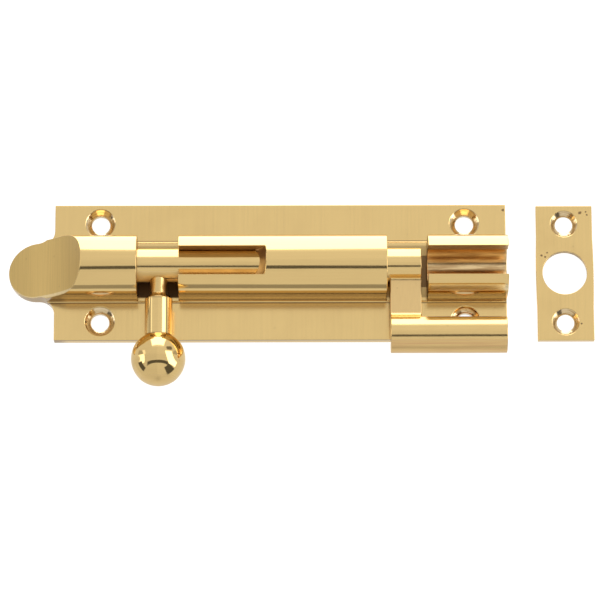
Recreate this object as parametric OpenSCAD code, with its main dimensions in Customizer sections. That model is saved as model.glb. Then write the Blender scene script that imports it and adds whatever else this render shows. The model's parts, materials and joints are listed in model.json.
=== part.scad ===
/* [Back plate] */
// Length of the back plate, along the bolt
plate_l = 101.6; // [95:0.1:110]
// Width of the back plate
plate_w = 31.5; // [31:0.05:36]
// Thickness of the back plate
plate_t = 2.5; // [2:0.1:2.8]

/* [Barrel] */
// Outer radius of the barrel's crown
barrel_r = 6.8; // [6.5:0.1:7.2]
// Height of the bolt's axis over the back of the plate
axis_h = 8.1; // [8.1:0.1:9]
// Radius of the fillet where the side walls meet the plate
foot_fillet = 0.4; // [0.2:0.05:0.6]
// Gap all round between the bolt rod and its bore
bore_gap = 0.07; // [0.04:0.01:0.1]
// Place of the bore's closed end, along the bolt
bore_end_x = -43.5; // [-44:0.1:-42]

/* [Ramped nose] */
// How far the nose reaches past the plate's end
nose_reach = 10.3; // [9:0.1:12]
// Radius of the nose's rounded tip, seen from the front
nose_r = 6.3; // [5.8:0.1:6.6]
// Radius of the corners where the nose meets the plate's end
nose_fillet = 3.4; // [2:0.1:4]
// Thickness left at the very tip
tip_t = 1.6; // [1.2:0.1:2]
// Radius of the hollow-ground ramp
ramp_r = 24; // [20:0.1:60]
// Length of the ramp, from its crest on the crown to the tip
ramp_l = 16.7; // [15:0.1:19]

/* [Slots] */
// Left edge of the cross slot that the knob stands in
knob_slot_x = -32; // [-33:0.05:-31]
// Width of the knob's cross slot
knob_slot_w = 9.25; // [8:0.05:10]
// Left edge of the cross slot that the bolt's neck stands in
neck_slot_x = 23.8; // [23:0.05:24.2]
// Width of the neck's cross slot
neck_slot_w = 9.1; // [8.6:0.05:10]
// Thickness of the land left on the plate where a cross slot crosses it
slot_land = 0.25; // [0.1:0.05:0.5]
// Width of the two slots that run along the crown
throw_slot_w = 6.45; // [6.2:0.05:7.2]
// How far those slots sit off the crown's centre line
throw_slot_y = -0.45; // [-0.5:0.05:0.3]
// Where the knob's throw slot ends on the crown
throw_end_x = -3.1; // [-5:0.1:-2]
// Radius of the disc cutter that leaves the throw slot's curved end
cutter_r = 9.75; // [9:0.05:12]

/* [Fixing holes] */
// Distance between the holes along the plate
hole_pitch_x = 82; // [78:0.1:84]
// Distance between the holes across the plate
hole_pitch_y = 22.8; // [22.8:0.1:24]
// How far the hole pattern's centre sits right of the plate's centre
hole_shift_x = 0.5; // [0:0.1:1]
// Radius of the screw holes
hole_r = 2.05; // [1.8:0.05:2.2]
// Radius of the countersinks at the plate's face
sink_r = 3.4; // [3.2:0.05:3.6]

/* [Bolt rod] */
// Radius of the bolt rod
rod_r = 3.75; // [3.6:0.05:3.9]
// Radius of the bolt's offset end
offset_r = 4.25; // [4:0.05:4.3]
// Left end of the rod, inside the barrel
rod_x0 = -41.5; // [-42:0.1:-40]
// Left face of the neck
neck_x0 = 24.5; // [24.4:0.05:25]
// Width of the neck, along the bolt
neck_w = 6.9; // [6:0.05:7]
// Thickness of the neck's web
neck_t = 2.4; // [2:0.1:3]
// Radius of the fillets between the web and the two rods
neck_fillet = 1.4; // [1:0.1:2]
// Distance between the axes of the rod and of its offset end
neck_offset = 16; // [15.5:0.1:17]
// Right end of the offset rod
tip_x = 50.4; // [48:0.1:53]
// Depth of the flat left on the offset rod where the web has been milled away
trim_d = 0.9; // [0.5:0.1:1.2]

/* [Knob] */
// Place of the knob along the bolt
knob_x = -27.15; // [-27.8:0.05:-27]
// Radius of the knob's ball
ball_r = 6.1; // [5.5:0.05:6.4]
// Distance from the bolt's axis to the ball's centre
ball_d = 21.6; // [20:0.1:23]
// Radius of the knob's shank
shank_r = 3.08; // [2.8:0.02:3.2]
// Radius of the stud that screws into the rod
stud_r = 1.95; // [1.7:0.05:2.1]
// Distance from the bolt's axis to the start of the shank's shoulder
shoulder_d = 6.75; // [6:0.05:8]
// Gap round the stud in its hole
stud_gap = 0.03; // [0.02:0.01:0.05]

/* [Strike plate] */
// Width of the strike plate, along the bolt
strike_w = 12.7; // [12:0.1:13.5]
// Length of the strike plate, across the bolt
strike_l = 31.4; // [30:0.1:33]
// Thickness of the strike plate
strike_t = 1.5; // [1.2:0.1:2]
// Place of the strike plate's centre along the bolt
strike_x = 64.05; // [62:0.05:70]
// Radius of the hole that takes the bolt's end
strike_hole_r = 5; // [4.5:0.1:5.2]
// Distance between the strike plate's two screw holes
strike_pitch = 22.9; // [22:0.1:24]
// Radius of the strike plate's screw holes
strike_screw_r = 1.95; // [1.7:0.05:2.1]
// Radius of the strike plate's countersinks
strike_sink_r = 3.1; // [2.9:0.05:3.3]
// How far the punched hole pushes each long side out
strike_bulge = 0.15; // [0.1:0.05:0.3]

/* [Hidden] */
$fn = 96;

eps = 0.01;
past = 1;                                  // how far a cutting shape runs past what it cuts
plate_x0 = -plate_l / 2;
plate_x1 = plate_l / 2;
crown_z = axis_h + barrel_r;
bore_r = rod_r + bore_gap;
floor_z = plate_t + slot_land;
throw_depth_z = axis_h;                    // the throw slots are cut down to the bolt's axis
neck_x1 = neck_x0 + neck_w;

// The nose, from its tip to the crest of its ramp
nose_tip_x = plate_x0 - nose_reach;
ramp_rise = crown_z - tip_t;
ramp_chord = norm([ramp_l, ramp_rise]);
ramp_sag = sqrt(pow(ramp_r, 2) - pow(ramp_chord / 2, 2));
ramp_x = nose_tip_x + ramp_l / 2 - ramp_sag * ramp_rise / ramp_chord;
ramp_z = tip_t + ramp_rise / 2 + ramp_sag * ramp_l / ramp_chord;

// Places the children's YZ outline along X, from x0 to x1
module along_x(x0, x1) {
    translate([x0, 0, 0]) rotate([90, 0, 90]) linear_extrude(x1 - x0) children();
}

// A cylinder parallel to Y, from y0 to y1
module rod_y(r, x, z, y0, y1) {
    translate([x, y1, z]) rotate([90, 0, 0]) cylinder(r = r, h = y1 - y0);
}

// A screw hole with its 90 degree countersink, in a plate of thickness t that lies on Z = 0
module screw_hole(r, sink, t) {
    translate([0, 0, -past]) cylinder(r = r, h = t + 2 * past);
    translate([0, 0, t - (sink - r)]) cylinder(r1 = r, r2 = sink + past, h = sink - r + past);
}

// The plate and its nose, seen from the front
module plan_outline() {
    nose_cx = nose_tip_x + nose_r;
    corner = nose_r + nose_fillet;
    translate([plate_x0, -plate_w / 2]) square([plate_l, plate_w]);
    translate([nose_cx, 0]) circle(r = nose_r);
    translate([nose_cx, -nose_r]) square([plate_x0 - nose_cx + eps, 2 * nose_r]);
    for (side = [-1, 1])
        difference() {
            translate([plate_x0 - nose_fillet, side > 0 ? 0 : -corner]) square([nose_fillet + eps, corner]);
            translate([plate_x0 - nose_fillet, side * corner]) circle(r = nose_fillet);
        }
}

// The barrel's section: a round crown on upright side walls that run into the plate with a fillet
module barrel_section() {
    foot_y = barrel_r + foot_fillet;
    translate([0, axis_h]) circle(r = barrel_r);
    translate([-barrel_r, plate_t / 2]) square([2 * barrel_r, axis_h - plate_t / 2]);
    for (side = [-1, 1])
        difference() {
            translate([side > 0 ? 0 : -foot_y, plate_t / 2]) square([foot_y, plate_t / 2 + foot_fillet]);
            translate([side * foot_y, plate_t + foot_fillet]) circle(r = foot_fillet);
        }
}

// Cuts the whole barrel down to a thin land, from x to x + w
module cross_slot(x, w) {
    translate([x, -plate_w / 2 - past, floor_z]) cube([w, plate_w + 2 * past, crown_z]);
}

module barrel_plate() {
    throw_y0 = throw_slot_y - throw_slot_w / 2;
    cutter_z = throw_depth_z + cutter_r;
    cutter_x = throw_end_x - sqrt(pow(cutter_r, 2) - pow(cutter_z - crown_z, 2));
    neck_slot_x1 = neck_slot_x + neck_slot_w;
    color("goldenrod") difference() {
        intersection() {
            union() {
                translate([nose_tip_x - past, -plate_w, 0])
                    cube([plate_x1 - nose_tip_x + past, 2 * plate_w, plate_t]);
                along_x(nose_tip_x - past, plate_x1) barrel_section();
            }
            linear_extrude(crown_z + past) plan_outline();
        }
        rod_y(ramp_r, ramp_x, ramp_z, -plate_w, plate_w);
        along_x(bore_end_x, plate_x1 + past) translate([0, axis_h]) circle(r = bore_r);
        cross_slot(knob_slot_x, knob_slot_w);
        cross_slot(neck_slot_x, neck_slot_w);
        // the knob's throw slot, with the round end that its disc cutter leaves
        rod_y(cutter_r, cutter_x, cutter_z, throw_y0, throw_y0 + throw_slot_w);
        translate([knob_slot_x + knob_slot_w - past, throw_y0, throw_depth_z])
            cube([cutter_x - knob_slot_x - knob_slot_w + past, throw_slot_w, crown_z]);
        // the neck's throw slot, open at the plate's end
        translate([neck_slot_x1 - past, throw_y0, throw_depth_z])
            cube([plate_x1 - neck_slot_x1 + 2 * past, throw_slot_w, crown_z]);
        for (sx = [-1, 1], sy = [-1, 1])
            translate([hole_shift_x + sx * hole_pitch_x / 2, sy * hole_pitch_y / 2, 0])
                screw_hole(hole_r, sink_r, plate_t);
    }
}

// Two rods side by side, joined by a web with a fillet at each of its four corners
module neck_section() {
    // a fillet touches the web's flank and bites a little into the rod, where it ends in a fine edge
    bite = 0.15;
    fillet_z = neck_t / 2 + neck_fillet;
    rod_fillet_y = -sqrt(pow(rod_r + neck_fillet - bite, 2) - pow(fillet_z, 2));
    offset_fillet_y = sqrt(pow(offset_r + neck_fillet - bite, 2) - pow(fillet_z, 2)) - neck_offset;
    circle(r = rod_r);
    translate([-neck_offset, 0]) circle(r = offset_r);
    difference() {
        polygon([[0, 0], [rod_fillet_y, fillet_z], [offset_fillet_y, fillet_z],
                 [-neck_offset, 0], [offset_fillet_y, -fillet_z], [rod_fillet_y, -fillet_z]]);
        for (side = [-1, 1]) {
            for (y = [rod_fillet_y, offset_fillet_y])
                translate([y, side * fillet_z]) circle(r = neck_fillet);
            translate([(rod_fillet_y + offset_fillet_y) / 2, side * fillet_z])
                square([rod_fillet_y - offset_fillet_y, 2 * neck_fillet], center = true);
        }
    }
}

// What is left of that section where the web has been milled away: the offset rod with a flat
module trimmed_section() {
    flat_y = offset_r - trim_d - neck_offset;
    intersection() {
        neck_section();
        translate([flat_y - neck_offset, -neck_offset]) square([neck_offset, 2 * neck_offset]);
    }
}

module necked_bolt() {
    stud_hole_end = 1.5;                   // how far the stud's hole runs past the rod's axis
    color("gold") translate([0, 0, axis_h]) difference() {
        union() {
            along_x(rod_x0, neck_x0) circle(r = rod_r);
            along_x(neck_x0, neck_x1) neck_section();
            along_x(neck_x1, tip_x) trimmed_section();
        }
        rod_y(stud_r + stud_gap, knob_x, 0, -rod_r - past, stud_hole_end);
    }
}

module ball_knob() {
    stud_end = 1.2;                        // how far the stud reaches past the rod's axis
    shank_d = shoulder_d + shank_r - stud_r;
    color("khaki") translate([knob_x, 0, axis_h]) rotate([90, 0, 0]) union() {
        rotate_extrude() polygon([[0, -stud_end], [stud_r, -stud_end], [stud_r, shoulder_d],
                                  [shank_r, shank_d], [shank_r, ball_d], [0, ball_d]]);
        translate([0, 0, ball_d]) sphere(r = ball_r);
    }
}

module strike_plate() {
    // each long side is straight at its ends and bows out in one shallow arc beside the hole
    bulge_l = 2 * strike_hole_r + 6;
    bulge_r = (pow(bulge_l / 2, 2) + pow(strike_bulge, 2)) / (2 * strike_bulge);
    color("darkkhaki") translate([strike_x, 0, 0]) difference() {
        linear_extrude(strike_t) {
            square([strike_w, strike_l], center = true);
            for (side = [-1, 1])
                intersection() {
                    translate([side * (strike_w / 2 + strike_bulge - bulge_r), 0]) circle(r = bulge_r);
                    translate([side * strike_w / 2, 0]) square([strike_w / 2, bulge_l], center = true);
                }
        }
        translate([0, 0, -past]) cylinder(r = strike_hole_r, h = strike_t + 2 * past);
        for (sy = [-1, 1])
            translate([0, sy * strike_pitch / 2, 0]) screw_hole(strike_screw_r, strike_sink_r, strike_t);
    }
}

barrel_plate();
necked_bolt();
ball_knob();
strike_plate();
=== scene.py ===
"""A necked barrel bolt of polished brass and its strike plate, lying on a white table."""

import json
import math

import bpy
from mathutils import Euler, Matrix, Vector


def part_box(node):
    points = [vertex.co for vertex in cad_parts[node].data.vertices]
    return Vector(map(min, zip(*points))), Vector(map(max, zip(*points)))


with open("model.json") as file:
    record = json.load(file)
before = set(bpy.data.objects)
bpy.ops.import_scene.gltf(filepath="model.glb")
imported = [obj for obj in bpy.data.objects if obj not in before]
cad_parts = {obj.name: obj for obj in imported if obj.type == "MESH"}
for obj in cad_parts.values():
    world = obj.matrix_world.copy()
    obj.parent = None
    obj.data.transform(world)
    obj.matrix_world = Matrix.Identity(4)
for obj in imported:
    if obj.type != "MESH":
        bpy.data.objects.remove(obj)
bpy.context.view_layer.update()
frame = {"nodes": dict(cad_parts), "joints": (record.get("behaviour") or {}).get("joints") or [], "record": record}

MM = 0.001
scene = bpy.context.scene

# ---- sizes ------------------------------------------------------------------------------------------
# The frame's boxes are in metres. Names in capitals are in millimetres, as the surface finishes are.
plate_low, plate_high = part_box("barrel_plate")
knob_low, knob_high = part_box("ball_knob")
_, strike_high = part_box("strike_plate")
mounts = {m["name"]: m for m in frame["record"]["mounts"]}
turn_joint = next(j for j in frame["joints"] if j["name"] == "bolt_turn")

# Read from the frame
AXIS_Z = turn_joint["pos_m"][2] / MM
CROWN_Z = plate_high.z / MM
CROWN_R = CROWN_Z - AXIS_Z
NOSE_TIP_X = plate_low.x / MM
PLATE_X1 = plate_high.x / MM
PLATE_Y1 = plate_high.y / MM
STRIKE_HOLE_R = mounts["strike_hole"]["dims"]["r_mm"]
STRIKE_X = mounts["strike_hole"]["pos_m"][0] / MM
STRIKE_T = strike_high.z / MM
BALL_R = (knob_high.x - knob_low.x) / 2 / MM
BALL_Y = knob_low.y / MM + BALL_R
KNOB_X = (knob_low.x + knob_high.x) / 2 / MM

# Repeated from the design
PLATE_T = 2.5
BORE_R = 3.82
RAMP_R = 24
RAMP_L = 16.7
TIP_T = 1.6
NOSE_R = 6.3
OFFSET_Y = -16.0
OFFSET_R = 4.25
ROD_R = 3.75
NECK_END_X = 31.4
SINK_R = 3.4
STRIKE_SINK_R = 3.1


# ---- camera -----------------------------------------------------------------------------------------
AIM = Vector((4.38, -6.54, 2.5)) * MM
DISTANCE = 875.3 * MM
TILT, YAW, ROLL = 15.54, -0.145, -0.166       # degrees off the straight-down view
LENS = 234
SENSOR = 36
NEAREST_SEEN = 10 * MM

cam_data = bpy.data.cameras.new("camera")
cam_data.lens = LENS
cam_data.sensor_width = SENSOR
cam_data.clip_start = NEAREST_SEEN
camera = bpy.data.objects.new("camera", cam_data)
camera.rotation_euler = Euler([math.radians(a) for a in (TILT, YAW, ROLL)])
look = camera.rotation_euler.to_matrix() @ Vector((0, 0, -1))
camera.location = AIM - look * DISTANCE
scene.collection.objects.link(camera)
scene.camera = camera
scene.view_settings.view_transform = "Standard"


# ---- node helpers -----------------------------------------------------------------------------------
class Graph:
    """Builds a node tree from short calls. A value is a socket or a plain number."""

    def __init__(self, tree):
        self.tree = tree
        tree.nodes.clear()

    def node(self, kind, **settings):
        n = self.tree.nodes.new(kind)
        for key, value in settings.items():
            setattr(n, key, value)
        return n

    def put(self, socket, value):
        if isinstance(value, bpy.types.NodeSocket):
            self.tree.links.new(value, socket)
        else:
            socket.default_value = value

    def math(self, operation, *values):
        n = self.node("ShaderNodeMath", operation=operation)
        for socket, value in zip(n.inputs, values):
            self.put(socket, value)
        return n.outputs[0]

    def plus(self, a, b):
        return self.math("ADD", a, b)

    def minus(self, a, b):
        return self.math("SUBTRACT", a, b)

    def times(self, a, b):
        return self.math("MULTIPLY", a, b)

    def negative(self, value):
        return self.times(value, -1.0)

    def size(self, value):
        """The value without its sign."""
        return self.math("ABSOLUTE", value)

    def larger(self, a, b):
        return self.math("MAXIMUM", a, b)

    def below(self, value, limit):
        """1 where value is below limit, 0 elsewhere, with a hard step."""
        return self.math("LESS_THAN", value, limit)

    def above(self, value, limit):
        """1 where value is above limit, 0 elsewhere, with a hard step."""
        return self.math("GREATER_THAN", value, limit)

    def outside(self, mask):
        """1 where mask is 0, and 0 where it is 1."""
        return self.minus(1.0, mask)

    def smooth(self, value, low, high):
        """0 below low, 1 above high, with a soft step between."""
        n = self.node("ShaderNodeMapRange", interpolation_type="SMOOTHSTEP")
        self.put(n.inputs["Value"], value)
        n.inputs["From Min"].default_value = low
        n.inputs["From Max"].default_value = high
        return n.outputs["Result"]

    def band(self, value, low, high, soft):
        """1 between low and high, 0 outside, with edges that are soft wide."""
        up = self.smooth(value, low - soft / 2, low + soft / 2)
        down = self.smooth(value, high - soft / 2, high + soft / 2)
        return self.minus(up, down)

    def both(self, *masks):
        out = masks[0]
        for mask in masks[1:]:
            out = self.times(out, mask)
        return out

    def mix(self, mask, a, b):
        """Number a where mask is 0, b where it is 1."""
        n = self.node("ShaderNodeMix", data_type="FLOAT")
        self.put(n.inputs[0], mask)
        self.put(n.inputs[2], a)
        self.put(n.inputs[3], b)
        return n.outputs[0]

    def blend(self, mask, a, b):
        """Colour a where mask is 0, b where it is 1."""
        n = self.node("ShaderNodeMix", data_type="RGBA")
        self.put(n.inputs[0], mask)
        self.put(n.inputs[6], a)
        self.put(n.inputs[7], b)
        return n.outputs[2]

    def stain(self, colour, mask, tint, amount):
        """Mixes some tint into a colour where mask is 1."""
        return self.blend(self.times(mask, amount), colour, tint)

    def split(self, vector):
        n = self.node("ShaderNodeSeparateXYZ")
        self.put(n.inputs[0], vector)
        return n.outputs

    def stretched(self, vector, scale):
        n = self.node("ShaderNodeMapping")
        self.put(n.inputs["Vector"], vector)
        n.inputs["Scale"].default_value = scale
        return n.outputs[0]

    def distance(self, a, b):
        return self.math("SQRT", self.plus(self.times(a, a), self.times(b, b)))

    def noise(self, vector, scale, detail=3.0, rough=0.55):
        n = self.node("ShaderNodeTexNoise")
        self.put(n.inputs["Vector"], vector)
        n.inputs["Scale"].default_value = scale
        n.inputs["Detail"].default_value = detail
        n.inputs["Roughness"].default_value = rough
        return n.outputs["Fac"]

    def bump(self, height, distance):
        n = self.node("ShaderNodeBump")
        n.inputs["Distance"].default_value = distance
        self.put(n.inputs["Height"], height)
        return n.outputs[0]


# ---- studio: a tent of white cloth with softboxes and dark gaps -------------------------------------
# How bright each piece is
TENT = 0.775
TENT_BACK = TENT * 1.09
LEFT_SHADE = 0.93
SOFTBOX = 2.8
SOFTBOX_GLOW = 1.12
LEFT_SOFTBOX = SOFTBOX * 0.8
LEFT_STRIP = 1.35
SIDE_CLOTH = 0.5
NEAR_TABLE = 0.80
LOW_GAP = 0.33
DARK_GAP = 0.11
RIGHT_GAP = DARK_GAP * 2

# The long softbox stands behind the bolt: angles from straight up towards the back, and half its length
BACK_GLOW_FROM, BACK_GLOW_TO = math.radians(34), math.radians(48)
BACK_BOX_FROM, BACK_BOX_TO = math.radians(47.5), math.radians(124)
BACK_BOX_HALF = 0.36

# The front panel leans: its dark gap is a band of this mixture of forward and up
FRONT_LEAN_FORWARD, FRONT_LEAN_UP = 0.987, 0.16

# The dark posts in front of the tent: from and to in degrees right of the front, and how high they reach
POSTS = ((30, 59, 0.54), (-80, -50, 0.26))


def tent_and_back_softbox(g, x, y, z):
    """The cloth, a little brighter at the back and darker on the left, and the long softbox behind."""
    middle = g.band(x, -BACK_BOX_HALF, BACK_BOX_HALF, 0.06)
    light = g.mix(g.smooth(y, -0.05, 0.25), TENT, TENT_BACK)
    light = g.times(light, g.mix(g.smooth(x, -0.085, -0.02), LEFT_SHADE, 1.0))
    angle = g.math("ARCTAN2", y, z)
    glow = g.both(g.smooth(angle, BACK_GLOW_FROM, BACK_GLOW_TO), middle)
    light = g.mix(glow, light, SOFTBOX_GLOW)
    return g.mix(g.both(g.band(angle, BACK_BOX_FROM, BACK_BOX_TO, 0.03), middle), light, SOFTBOX)


def side_pieces(g, x, y, z, overhead, light):
    """A leaning softbox on the right; on the left one that narrows to a strip, with dim cloth beside it."""
    lean = g.plus(x, g.times(y, 0.3))
    right = g.both(g.band(lean, 0.60, 0.93, 0.03), g.band(y, -0.45, 0.36, 0.05), overhead)
    light = g.mix(right, light, SOFTBOX)
    left = g.both(g.band(x, -0.985, -0.845, 0.02), g.band(y, -0.33, 0.18, 0.05), overhead)
    light = g.mix(left, light, LEFT_SOFTBOX)
    cloth = g.both(g.smooth(g.size(x), 0.86, 0.90), g.band(y, 0.2, 0.42, 0.05), overhead)
    light = g.mix(cloth, light, SIDE_CLOTH)
    strip = g.both(g.band(x, -0.87, -0.78, 0.03), g.band(y, 0.18, 0.42, 0.05), overhead)
    light = g.mix(strip, light, LEFT_STRIP)
    gap = g.both(g.band(x, 0.52, 0.80, 0.06), g.band(y, 0.44, 0.64, 0.06), g.band(z, 0.3, 0.66, 0.05))
    return g.mix(gap, light, RIGHT_GAP)


def front_pieces(g, x, forward, z, overhead, light):
    """The dark gap over the front panel, two posts, and the table's near edge."""
    front = g.plus(g.times(forward, FRONT_LEAN_FORWARD), g.times(z, FRONT_LEAN_UP))
    gap = g.both(g.band(front, 0.448, 0.632, 0.03), overhead, g.band(x, -0.7, 0.7, 0.1))
    light = g.mix(gap, light, DARK_GAP)
    azimuth = g.math("ARCTAN2", x, forward)
    for start, end, top in POSTS:
        turned = g.band(azimuth, math.radians(start), math.radians(end), 0.05)
        light = g.mix(g.both(turned, g.band(z, -0.12, top, 0.05)), light, DARK_GAP)
    low_gap = g.both(g.band(z, -0.42, -0.08, 0.03), g.smooth(forward, 0.2, 0.3), g.band(x, -0.08, 0.08, 0.02))
    light = g.mix(low_gap, light, LOW_GAP)
    near_table = g.both(g.smooth(g.negative(z), 0.44, 0.48), g.smooth(forward, 0.0, 0.1))
    return g.mix(near_table, light, NEAR_TABLE)


def make_world():
    """Lights the scene. x, y and z are parts of a direction of length 1: right, back and up."""
    world = bpy.data.worlds.new("studio")
    world.use_nodes = True
    g = Graph(world.node_tree)
    x, y, z = g.split(g.node("ShaderNodeTexCoord").outputs["Generated"])
    overhead = g.smooth(z, -0.05, 0.0)
    light = tent_and_back_softbox(g, x, y, z)
    light = side_pieces(g, x, y, z, overhead, light)
    light = front_pieces(g, x, g.negative(y), z, overhead, light)
    background = g.node("ShaderNodeBackground")
    background.inputs["Color"].default_value = (1, 1, 1, 1)
    g.put(background.inputs["Strength"], light)
    g.put(g.node("ShaderNodeOutputWorld").inputs["Surface"], background.outputs[0])
    scene.world = world


TABLE_HALF = 1500 * MM
TABLE_DROP = 0.05 * MM
TABLE_GREY = (0.35, 0.35, 0.35, 1)
TABLE_GLOW = 0.9


def make_table():
    """A plain table that glows, so it looks nearly pure white. Reflections see the studio instead of it."""
    z = plate_low.z - TABLE_DROP
    corners = [(sx * TABLE_HALF, sy * TABLE_HALF, z) for sx, sy in ((-1, -1), (1, -1), (1, 1), (-1, 1))]
    data = bpy.data.meshes.new("table")
    data.from_pydata(corners, [], [(0, 1, 2, 3)])
    table = bpy.data.objects.new("table", data)
    scene.collection.objects.link(table)
    table.visible_glossy = False
    material = bpy.data.materials.new("table_white")
    material.use_nodes = True
    g = Graph(material.node_tree)
    shader = g.node("ShaderNodeBsdfPrincipled")
    shader.inputs["Base Color"].default_value = TABLE_GREY
    shader.inputs["Roughness"].default_value = 0.9
    shader.inputs["Specular IOR Level"].default_value = 0.0
    shader.inputs["Emission Color"].default_value = (1, 1, 1, 1)
    shader.inputs["Emission Strength"].default_value = TABLE_GLOW
    g.put(g.node("ShaderNodeOutputMaterial").inputs["Surface"], shader.outputs[0])
    data.materials.append(material)


# ---- brass ------------------------------------------------------------------------------------------
BRASS = (0.86, 0.615, 0.262, 1)
GROUND = (0.63, 0.445, 0.172, 1)       # the ramp, ground and left matt
GROUND_LOW = (0.575, 0.405, 0.156, 1)  # the bottom of the ramp's grinding lines
AGED_AND_SHADE = (0.60, 0.40, 0.165, 1)          # thin tarnish, where polishing didn't reach, and painted shade on the barrel's flanks and the shank's lower half
TARNISH_AND_SHADE = (0.30, 0.19, 0.085, 1)       # thick tarnish in pits, and painted shade in corners and deep recesses
SLOT_SHADE = (0.11, 0.065, 0.03, 1)     # painted shade on the floors of the cross slots, under the rod
CUT_AND_SHADE = (0.50, 0.345, 0.175, 1)          # milled inner walls, darkened with painted shade
BORE = (0.93, 0.68, 0.36, 1)           # the drilled bore, between its streaks
BORE_LOW = (0.60, 0.39, 0.18, 1)       # the drilled bore, in its streaks
RUBBED = (0.76, 0.47, 0.22, 1)         # reddish brass on the outer side of the offset rod
MILLED = (0.72, 0.47, 0.26, 1)         # the web of the neck
PALE = (0.98, 0.86, 0.60, 1)           # brass that is burnished or freshly milled, and a painted highlight on the ramp's lower edge
SINK = (0.84, 0.66, 0.40, 1)           # the countersinks' freshly cut cones

# How deep the fine lines look: they are bump only, in millimetres
DRAWN_DEPTH = 0.0035
ROD_DEPTH = 0.005
TURNED_DEPTH = 0.003


def start_material(name):
    """An empty material, and the surface point in millimetres in the part's frame, riding with its body."""
    material = bpy.data.materials.new(name)
    material.use_nodes = True
    g = Graph(material.node_tree)
    coords = g.node("ShaderNodeTexCoord")
    return material, g, g.stretched(coords.outputs["Object"], (1 / MM, 1 / MM, 1 / MM))


def finish_material(g, colour, rough, height, height_mm):
    shader = g.node("ShaderNodeBsdfPrincipled")
    shader.inputs["Metallic"].default_value = 1.0
    g.put(shader.inputs["Base Color"], colour)
    g.put(shader.inputs["Roughness"], rough)
    g.put(shader.inputs["Normal"], g.bump(height, height_mm * MM))
    g.put(g.node("ShaderNodeOutputMaterial").inputs["Surface"], shader.outputs[0])


def lines_along(g, point, axis, across=3.5, along=0.05):
    """Fine lines that run along one axis: values change fast across them and slowly along them."""
    scale = [across] * 3
    scale[axis] = along
    return g.noise(g.stretched(point, scale), 1.0, detail=4.0, rough=0.6)


def cloudy(g, point, colour, tint, amount):
    """Mottles a colour with soft patches of a second one, as handled brass has."""
    patches = g.smooth(g.noise(point, 0.11, detail=4.0), 0.42, 0.72)
    return g.stain(colour, patches, tint, amount)


def streaks(g, colour, lines, tint, amount):
    return g.stain(colour, g.smooth(lines, 0.4, 0.72), tint, amount)


def specks(g, point, size, share):
    """Small pits, 1 inside a pit: share is the part of the cells that holds one."""
    cells = g.node("ShaderNodeTexVoronoi")
    g.put(cells.inputs["Vector"], point)
    cells.inputs["Scale"].default_value = 1 / size
    chance, width, _ = g.split(cells.outputs["Color"])
    # pits differ in width and in depth
    reach = g.math("DIVIDE", cells.outputs["Distance"], g.mix(width, 0.35, 1.0))
    in_pit = g.outside(g.smooth(reach, 0.10, 0.34))
    chosen = g.below(chance, share)
    return g.both(in_pit, chosen, g.mix(width, 1.0, 0.4))


def spot(g, point, centre, radius):
    """A ragged nick: 1 within about radius of a place on the face, fading out."""
    x, y, _ = g.split(point)
    ragged = g.mix(g.noise(point, 2.2, detail=3.0), 0.25, 1.75)
    far = g.times(g.distance(g.minus(x, centre[0]), g.minus(y, centre[1])), ragged)
    return g.outside(g.smooth(far, radius * 0.7, radius * 1.2))


def countersinks(g, point, mount, face_z, sink_r):
    """1 on the cones and walls of a mount's screw holes, and the rings that the cutter left there."""
    x, y, z = g.split(point)
    dims = mount["dims"]
    across = g.size(g.minus(x, mount["pos_m"][0] / MM))
    across = g.minus(across, dims.get("spacing_x_mm", 0) / 2)
    along = g.minus(g.size(y), dims["spacing_y_mm"] / 2)
    near = g.below(g.distance(across, along), sink_r + 0.1)
    rings = g.noise(g.stretched(point, (0.3, 0.3, 7)), 1.0, detail=2.0)
    return g.both(near, g.below(z, face_z - 0.06)), rings


def cut_cones(g, colour, sinks, rings):
    return g.blend(sinks, colour, g.blend(g.smooth(rings, 0.45, 0.65), SINK, AGED_AND_SHADE))


def with_cutter_rings(g, lines, sinks, rings):
    return g.plus(lines, g.times(g.both(rings, sinks), 3.0))


# ---- the barrel and its plate -----------------------------------------------------------------------
def distance_from_ramp(g, x, z):
    """How far a point lies under the hollow-ground ramp, which is part of a cylinder along Y."""
    rise = CROWN_Z - TIP_T
    chord = math.hypot(RAMP_L, rise)
    sag = math.sqrt(RAMP_R ** 2 - (chord / 2) ** 2)
    centre_x = NOSE_TIP_X + RAMP_L / 2 - sag * rise / chord
    centre_z = TIP_T + rise / 2 + sag * RAMP_L / chord
    return g.minus(g.distance(g.minus(x, centre_x), g.minus(z, centre_z)), RAMP_R)


def darken_flanks_foot_and_rim(g, colour, side, up, z):
    """The barrel's sides get a strip of painted shade, painted shade lies along its foot, and the plate's edge is
    darkened.
    """
    # a strip of painted shade along both sides of the barrel, level with its axis
    flank = g.both(g.band(up, -1.9, 1.9, 1.1), g.smooth(side, CROWN_R - 0.6, CROWN_R - 0.2))
    colour = g.stain(colour, flank, AGED_AND_SHADE, 0.8)
    # painted shade in the corner along the barrel's foot
    foot = g.both(g.band(side, CROWN_R + 0.22, CROWN_R + 0.55, 0.12), g.below(z, PLATE_T + 0.25))
    colour = g.stain(colour, foot, TARNISH_AND_SHADE, 0.75)
    rim = g.both(g.band(z, PLATE_T - 0.75, PLATE_T - 0.18, 0.1), g.above(side, PLATE_Y1 - 0.03))
    return g.stain(colour, rim, TARNISH_AND_SHADE, 0.85)


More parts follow.
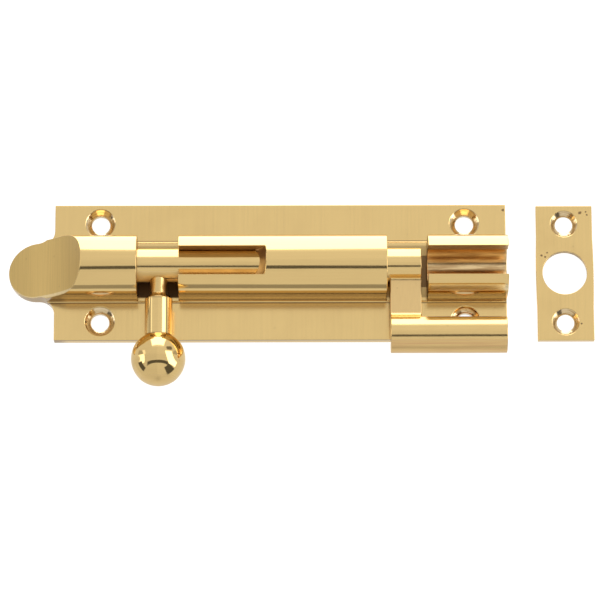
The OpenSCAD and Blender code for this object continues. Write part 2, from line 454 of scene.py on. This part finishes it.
def grind_ramp(g, colour, x, y, z, from_ramp, on_ramp, brushed):
    """The ramp is matt, and its lower edge carries a painted highlight, round the nose and along its side."""
    ground = g.blend(g.smooth(brushed, 0.35, 0.7), GROUND, GROUND_LOW)
    colour = g.blend(on_ramp, colour, ground)
    nose_x = g.math("MINIMUM", g.minus(x, NOSE_TIP_X + NOSE_R), 0.0)
    rim = g.band(g.distance(nose_x, y), NOSE_R - 0.25, CROWN_R - 0.1, 0.15)
    near_side = g.outside(g.smooth(y, -4.5, -3.0))
    near_face = g.outside(g.smooth(from_ramp, 0.08, 0.14))
    # a painted highlight along the ramp's lower edge, on the negative-y side only
    edge_highlight = g.both(rim, g.smooth(z, 1.0, 1.8), near_side, near_face)
    return g.stain(colour, edge_highlight, PALE, 0.38)


def swept_flank(g, x, y, side, up):
    """1 on the flank beside the offset rod, where the rod swings past."""
    strip = g.band(side, CROWN_R - 1.15, CROWN_R - 0.35, 0.3)
    return g.both(g.smooth(x, 33, 34), strip, g.below(y, 0), g.smooth(up, 1.0, 2.2))


def darken_nose(g, colour, x, side, z, from_ramp):
    """The nose's side walls are duller than the flanks."""
    low_wall = g.larger(g.below(z, PLATE_T - 0.1), g.below(side, CROWN_R + 0.1))
    on_nose = g.smooth(g.negative(x), PLATE_X1 - 3.5, PLATE_X1 - 1.0)
    wall = g.both(on_nose, low_wall, g.above(from_ramp, 0.12), g.band(z, 0.1, AXIS_Z, 0.1))
    return g.stain(colour, wall, TARNISH_AND_SHADE, 0.75)


def slot_floors(g, x, y, z, side, from_ramp):
    """Painted shade: 1 on the knob slot's floor on the knob's side, and 0.4 on the rest of the cross slots'
    floors.
    """
    land = g.both(g.band(z, PLATE_T + 0.15, PLATE_T + 0.45, 0.1), g.above(from_ramp, 0.2),
                  g.outside(g.smooth(side, CROWN_R - 1.0, CROWN_R - 0.5)))
    elsewhere = g.larger(g.smooth(y, -0.5, 0.5), g.above(x, 0))
    return g.times(land, g.mix(elsewhere, 1.0, 0.4))


def make_barrel_brass():
    material, g, point = start_material("drawn_brass_barrel")
    x, y, z = g.split(point)
    side = g.size(y)
    up = g.minus(z, AXIS_Z)
    from_axis = g.distance(y, up)
    from_ramp = distance_from_ramp(g, x, z)
    # where each finish is: the ramp, the barrel's outside, what is cut inside it, and the bore
    on_ramp = g.outside(g.smooth(from_ramp, 0.02, 0.06))
    on_barrel = g.smooth(z, PLATE_T + 0.2, PLATE_T + 0.6)
    inside = g.both(g.below(from_axis, CROWN_R - 0.3), g.above(z, PLATE_T + 0.1),
                    g.below(x, PLATE_X1 - 0.15), g.above(from_ramp, 0.2))
    bored = g.both(inside, g.below(from_axis, BORE_R + 0.08))
    deep = g.both(inside, g.outside(g.smooth(z, AXIS_Z - 4.6, AXIS_Z - 4.0)))
    floors = slot_floors(g, x, y, z, side, from_ramp)
    swept = swept_flank(g, x, y, side, up)
    sinks, rings = countersinks(g, point, mounts["plate_screws"], PLATE_T, SINK_R)
    # brushed across the plate and the ramp, drawn along the barrel
    brushed = lines_along(g, point, 1)
    drawn = lines_along(g, point, 0)
    lines = g.mix(g.both(on_barrel, g.outside(on_ramp)), brushed, drawn)
    colour = cloudy(g, point, BRASS, AGED_AND_SHADE, 0.10)
    colour = streaks(g, colour, lines, AGED_AND_SHADE, 0.09)
    colour = darken_flanks_foot_and_rim(g, colour, side, up, z)
    colour = grind_ramp(g, colour, x, y, z, from_ramp, on_ramp, brushed)
    colour = g.stain(colour, swept, PALE, 0.7)
    colour = darken_nose(g, colour, x, side, z, from_ramp)
    # the milled walls inside the cuts are darkened with painted shade
    colour = g.blend(inside, colour, cloudy(g, point, CUT_AND_SHADE, TARNISH_AND_SHADE, 0.5))
    # the drilled bore is reddish and streaked, and what lies deeper than the bore gets painted shade, nearly black
    bore_streaks = lines_along(g, point, 0, across=1.1, along=0.12)
    bore_colour = g.blend(g.smooth(bore_streaks, 0.35, 0.65), BORE, BORE_LOW)
    colour = g.blend(bored, colour, bore_colour)
    colour = g.stain(colour, deep, TARNISH_AND_SHADE, 0.95)
    # painted shade, nearly black, on the cross slots' floors under the rod
    colour = g.blend(floors, colour, SLOT_SHADE)
    colour = cut_cones(g, colour, sinks, rings)
    pits = g.times(specks(g, point, 1.3, 0.03), 0.4)
    colour = g.blend(pits, colour, TARNISH_AND_SHADE)
    # one nick near the plate's upper right corner
    chip = spot(g, point, (PLATE_X1 - 0.55, PLATE_Y1 - 1.3), 0.35)
    colour = g.blend(g.both(chip, g.below(z, PLATE_T + 0.1)), colour, TARNISH_AND_SHADE)
    rough = g.mix(on_barrel, g.mix(lines, 0.13, 0.24), g.mix(lines, 0.07, 0.15))
    for mask, roughness in ((on_ramp, 0.5), (swept, 0.22), (inside, 0.34), (bored, 0.2), (floors, 0.5),
                            (sinks, 0.13)):
        rough = g.mix(mask, rough, roughness)
    height = g.minus(with_cutter_rings(g, lines, sinks, rings), pits)
    finish_material(g, colour, rough, height, DRAWN_DEPTH)
    return material


# ---- the bolt, its knob and the strike plate --------------------------------------------------------
def make_bolt_brass():
    material, g, point = start_material("polished_brass_bolt")
    x, y, z = g.split(point)
    inner_y = OFFSET_Y + OFFSET_R                 # where the offset rod faces the other rod
    drawn = lines_along(g, point, 0, across=3.0)
    milled = lines_along(g, point, 1, across=2.5, along=0.4)
    # the web of the neck lies between the two rods and is milled, not polished
    web = g.both(g.band(y, inner_y, -ROD_R, 0.6), g.below(g.size(g.minus(z, AXIS_Z)), 2.2))
    lines = g.mix(web, drawn, milled)
    grain = g.noise(point, 2.6, detail=2.0)
    colour = cloudy(g, point, BRASS, AGED_AND_SHADE, 0.14)
    colour = streaks(g, colour, lines, AGED_AND_SHADE, 0.12)
    colour = g.stain(colour, web, MILLED, 0.22)
    # the outer side of the offset rod is rubbed and reddish
    rubbed = g.both(g.outside(g.smooth(y, OFFSET_Y - 2.6, OFFSET_Y - 1.9)), g.smooth(z, 6.0, 7.0))
    colour = g.blend(g.times(rubbed, g.smooth(drawn, 0.35, 0.7)), colour, RUBBED)
    pits = g.times(specks(g, point, 1.0, 0.04), 0.45)
    colour = g.blend(pits, colour, TARNISH_AND_SHADE)
    # the flat where the web was milled off is pale and matt
    flat = g.both(g.band(y, inner_y - 1.0, inner_y - 0.5, 0.1), g.smooth(x, NECK_END_X, NECK_END_X + 0.4))
    colour = g.blend(flat, colour, PALE)
    # the stretch round the knob is scuffed on the knob's side
    scuffed = g.both(g.band(x, KNOB_X - 5.5, KNOB_X + 5.5, 0.5), g.smooth(g.negative(y), 1.9, 2.6))
    rough = g.mix(lines, 0.09, 0.19)
    for mask, roughness in ((web, 0.30), (flat, 0.5), (rubbed, 0.30), (scuffed, 0.42)):
        rough = g.mix(mask, rough, roughness)
    height = g.minus(g.plus(lines, g.times(grain, 0.9)), pits)
    finish_material(g, colour, rough, height, ROD_DEPTH)
    return material


def make_knob_brass():
    material, g, point = start_material("turned_brass_knob")
    _, y, z = g.split(point)
    # turning marks are rings round the knob's own axis, which lies along Y
    rings = g.noise(g.stretched(point, (0.12, 5.0, 0.12)), 1.0, detail=4.0, rough=0.6)
    polish = g.noise(point, 0.5, detail=3.0)
    on_ball = g.outside(g.smooth(y, BALL_Y + BALL_R * 0.8, BALL_Y + BALL_R))
    far_end = g.outside(g.smooth(y, BALL_Y - BALL_R * 0.78, BALL_Y - BALL_R * 0.66))
    on_shank = g.smooth(y, BALL_Y + BALL_R * 0.88, BALL_Y + BALL_R * 0.95)
    shank_low = g.both(on_shank, g.outside(g.smooth(z, AXIS_Z + 1.5, AXIS_Z + 2.3)))
    corner = g.band(y, BALL_Y + BALL_R * 0.83, BALL_Y + BALL_R * 0.90, 0.3)
    shoulder = g.band(y, -8.2, -7.2, 0.6)
    colour = cloudy(g, point, BRASS, AGED_AND_SHADE, 0.14)
    colour = streaks(g, colour, rings, AGED_AND_SHADE, 0.12)
    # painted shade in the corner between ball and shank, and round the shoulder
    colour = g.stain(colour, corner, TARNISH_AND_SHADE, 0.5)
    colour = g.stain(colour, shoulder, TARNISH_AND_SHADE, 0.55)
    pits = g.times(specks(g, point, 1.4, 0.02), 0.3)
    colour = g.blend(pits, colour, TARNISH_AND_SHADE)
    # the shank's lower half is rougher and gets painted shade, and the ball's far end is dulled by fingers
    colour = g.stain(colour, shank_low, AGED_AND_SHADE, 0.5)
    rough = g.mix(rings, 0.05, 0.13)
    for mask, roughness in ((on_ball, 0.075), (shank_low, 0.3), (far_end, 0.32), (shoulder, 0.2)):
        rough = g.mix(mask, rough, roughness)
    height = g.minus(g.plus(rings, polish), pits)
    finish_material(g, colour, rough, height, TURNED_DEPTH)
    return material


# Places from the strike plate's centre, and radii
LARGE_PITS = ((3.7, 14.1, 0.38), (5.0, 14.3, 0.2), (5.2, 13.6, 0.2),
              (-5.2, 4.0, 0.25), (-4.4, 3.7, 0.22), (-3.9, 4.7, 0.22), (3.5, -11.9, 0.2))


def make_strike_brass():
    material, g, point = start_material("sheet_brass_strike")
    x, y, z = g.split(point)
    brushed = lines_along(g, point, 1, across=3.2)
    colour = cloudy(g, point, BRASS, AGED_AND_SHADE, 0.2)
    colour = streaks(g, colour, brushed, AGED_AND_SHADE, 0.13)
    sinks, rings = countersinks(g, point, mounts["strike_screws"], STRIKE_T, STRIKE_SINK_R)
    colour = cut_cones(g, colour, sinks, rings)
    # the wall of the punched hole is torn and dark
    from_hole = g.distance(g.minus(x, STRIKE_X), y)
    wall = g.both(g.below(from_hole, STRIKE_HOLE_R + 0.06), g.below(z, STRIKE_T - 0.12))
    torn = g.noise(g.stretched(point, (1.2, 1.2, 3)), 1.0, detail=3.0)
    colour = g.blend(g.times(wall, g.smooth(torn, 0.35, 0.6)), colour, TARNISH_AND_SHADE)
    # fine pits are spread thinly, and a few larger ones lie beside the hole and near the corners
    pits = g.times(specks(g, point, 1.2, 0.04), 0.5)
    for place_x, place_y, radius in LARGE_PITS:
        pits = g.larger(pits, spot(g, point, (STRIKE_X + place_x, place_y), radius))
    colour = g.blend(pits, colour, TARNISH_AND_SHADE)
    rough = g.mix(wall, g.mix(brushed, 0.12, 0.24), 0.35)
    height = g.minus(with_cutter_rings(g, brushed, sinks, rings), g.times(pits, 2.0))
    finish_material(g, colour, rough, height, DRAWN_DEPTH)
    return material


# ---- edges, and putting it together -----------------------------------------------------------------
def soften_edges(obj, width):
    """Rounds every sharp edge of a CAD node by width, without touching its mesh."""
    weld = obj.modifiers.new("weld", "WELD")
    weld.merge_threshold = 0.002 * MM
    flatten = obj.modifiers.new("flatten", "DECIMATE")
    flatten.decimate_type = "DISSOLVE"
    flatten.angle_limit = math.radians(0.6)
    bevel = obj.modifiers.new("round_edges", "BEVEL")
    bevel.limit_method = "ANGLE"
    bevel.angle_limit = math.radians(28)
    bevel.width = width
    bevel.segments = 3
    bevel.use_clamp_overlap = False
    bevel.harden_normals = False
    bevel.miter_outer = "MITER_ARC"
    weighted = obj.modifiers.new("weighted", "WEIGHTED_NORMAL")
    weighted.keep_sharp = False
    weighted.weight = 100


# Each node's finish, and how wide its rounded edges are
NODE_FINISH = {
    "barrel_plate": (make_barrel_brass, 0.15),
    "necked_bolt": (make_bolt_brass, 0.15),
    "ball_knob": (make_knob_brass, 0.1),
    "strike_plate": (make_strike_brass, 0.1),
}

make_world()
make_table()
for node_name, (make_finish, edge_mm) in NODE_FINISH.items():
    part = frame["nodes"][node_name]
    part.data.materials.clear()
    part.data.materials.append(make_finish())
    soften_edges(part, edge_mm * MM)
